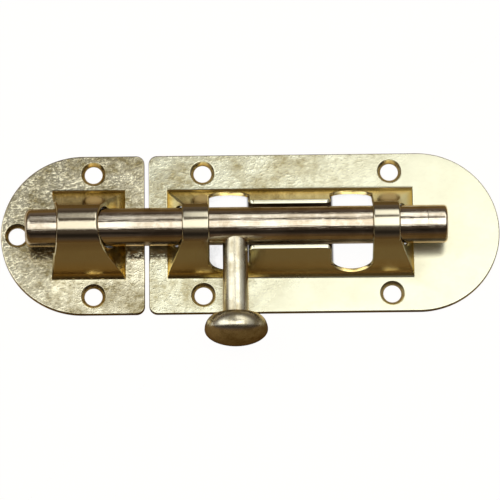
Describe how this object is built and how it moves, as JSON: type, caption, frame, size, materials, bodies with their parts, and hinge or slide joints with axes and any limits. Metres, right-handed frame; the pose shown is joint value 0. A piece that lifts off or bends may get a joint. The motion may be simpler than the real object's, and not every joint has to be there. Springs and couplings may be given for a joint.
{
  "type": "surface door bolt",
  "caption": "Pressed sheet-metal door bolt with a caged round bolt, a side handle with a mushroom knob that drops into notches, and a matching keeper plate.",
  "frame": {"origin": "centre of the back plate's four screw holes, on the plate's back face", "axes": "+X along the bolt, from the keeper to the back plate's round end; +Y across the plates, away from the handle; +Z off the door"},
  "size_m": [0.1062, 0.0433, 0.0133],
  "materials": {
    "plate_brass": "polished brass plating on pressed sheet",
    "keeper_brass": "polished brass plating with a fine pebbled surface",
    "bolt_brass": "polished brass plating on round bar",
    "handle_brass": "polished brass plating on a turned handle"
  },
  "bodies": {
    "back_plate": {"back_plate": "plate_brass"},
    "keeper": {"keeper_plate": "keeper_brass"},
    "bolt": {"bolt": "bolt_brass"},
    "handle": {"handle": "handle_brass"}
  },
  "joints": [
    {"name": "bolt_slide", "type": "slide", "parent": "back_plate", "child": "bolt", "axis": [1, 0, 0], "range_m": [-0.0026, 0.0001]},
    {"name": "handle_turn", "type": "hinge", "parent": "bolt", "child": "handle", "pos_m": [-0.0132, 0, 0.0067], "axis": [-1, 0, 0], "range_deg": [0, 180]},
    {"name": "keeper_away", "type": "slide", "parent": "back_plate", "child": "keeper", "axis": [-1, 0, 0], "range_m": [0, 0.03]}
  ]
}
